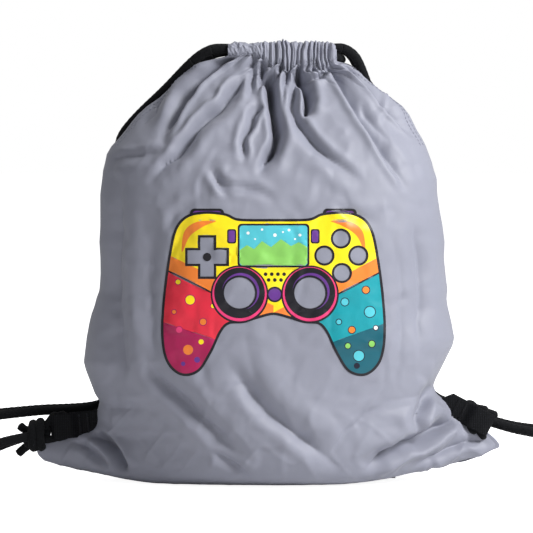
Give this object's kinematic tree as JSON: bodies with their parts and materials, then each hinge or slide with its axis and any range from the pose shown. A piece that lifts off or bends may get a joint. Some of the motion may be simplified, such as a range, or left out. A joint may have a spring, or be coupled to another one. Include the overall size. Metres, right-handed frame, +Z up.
{
  "type": "drawstring gym sack",
  "caption": "Stuffed drawstring gym sack with a gathered hem, thick shoulder cords tied to side tabs, and a printed motif on the front.",
  "frame": {"origin": "on the floor under the middle of the bounding box, in the side seam plane", "axes": "+Z up, +X to the right when the printed front is faced, -Y out of the printed front"},
  "size_m": [0.5176, 0.1532, 0.318],
  "materials": {
    "bag_fabric": "satin coated polyester",
    "seam_thread": "matte thread",
    "cord_braid": "matte braid",
    "tab_webbing": "matte woven webbing",
    "tab_thread": "matte thread",
    "print_ink": "satin ink film"
  },
  "bodies": {
    "bag": {"front_panel": "bag_fabric", "back_panel": "bag_fabric", "left_side_seam_allowance": "seam_thread", "right_side_seam_allowance": "seam_thread", "bottom_seam_allowance": "seam_thread", "front_print_film": "print_ink", "left_cord_far_turn": "cord_braid", "right_cord_far_turn": "cord_braid", "left_shoulder_cord_front": "cord_braid", "left_shoulder_cord_back": "cord_braid", "right_shoulder_cord_front": "cord_braid", "right_shoulder_cord_back": "cord_braid"},
    "front_lip": {"front_channel": "bag_fabric", "front_channel_stitching": "seam_thread"},
    "back_lip": {"back_channel": "bag_fabric", "back_channel_stitching": "seam_thread"},
    "left_front_run": {"left_cord_front_run": "cord_braid"},
    "left_back_run": {"left_cord_back_run": "cord_braid"},
    "right_front_run": {"right_cord_front_run": "cord_braid"},
    "right_back_run": {"right_cord_back_run": "cord_braid"},
    "left_tab": {"left_webbing_tab": "tab_webbing", "left_tab_bartack": "tab_thread", "left_cord_knot": "cord_braid"},
    "right_tab": {"right_webbing_tab": "tab_webbing", "right_tab_bartack": "tab_thread", "right_cord_knot": "cord_braid"}
  },
  "joints": [
    {"name": "front_lip_fold", "type": "hinge", "parent": "bag", "child": "front_lip", "pos_m": [0.008, -0.024, 0.283], "axis": [1, 0, 0], "range_deg": [0, 25]},
    {"name": "back_lip_fold", "type": "hinge", "parent": "bag", "child": "back_lip", "pos_m": [0.008, 0.024, 0.283], "axis": [1, 0, 0], "range_deg": [-25, 0]},
    {"name": "left_tab_flex", "type": "hinge", "parent": "bag", "child": "left_tab", "pos_m": [-0.134, 0, 0.05], "axis": [0, 0, 1], "range_deg": [0, 20]},
    {"name": "right_tab_flex", "type": "hinge", "parent": "bag", "child": "right_tab", "pos_m": [0.137, 0, 0.059], "axis": [0, 0, 1], "range_deg": [-20, 0]},
    {"name": "left_front_cord_slide", "type": "slide", "parent": "front_lip", "child": "left_front_run", "axis": [1, 0, 0], "range_m": [0, 0.02]},
    {"name": "right_front_cord_slide", "type": "slide", "parent": "front_lip", "child": "right_front_run", "axis": [-1, 0, 0], "range_m": [0, 0.02]},
    {"name": "left_back_cord_slide", "type": "slide", "parent": "back_lip", "child": "left_back_run", "axis": [1, 0, 0], "range_m": [0, 0.02]},
    {"name": "right_back_cord_slide", "type": "slide", "parent": "back_lip", "child": "right_back_run", "axis": [-1, 0, 0], "range_m": [0, 0.02]}
  ],
  "couplings": [
    {"joint": "back_lip_fold", "follows": "front_lip_fold", "ratio": -1},
    {"joint": "left_front_cord_slide", "follows": "front_lip_fold", "m_per_rad": 0.0458},
    {"joint": "right_front_cord_slide", "follows": "front_lip_fold", "m_per_rad": 0.0458},
    {"joint": "left_back_cord_slide", "follows": "front_lip_fold", "m_per_rad": 0.0458},
    {"joint": "right_back_cord_slide", "follows": "front_lip_fold", "m_per_rad": 0.0458}
  ]
}
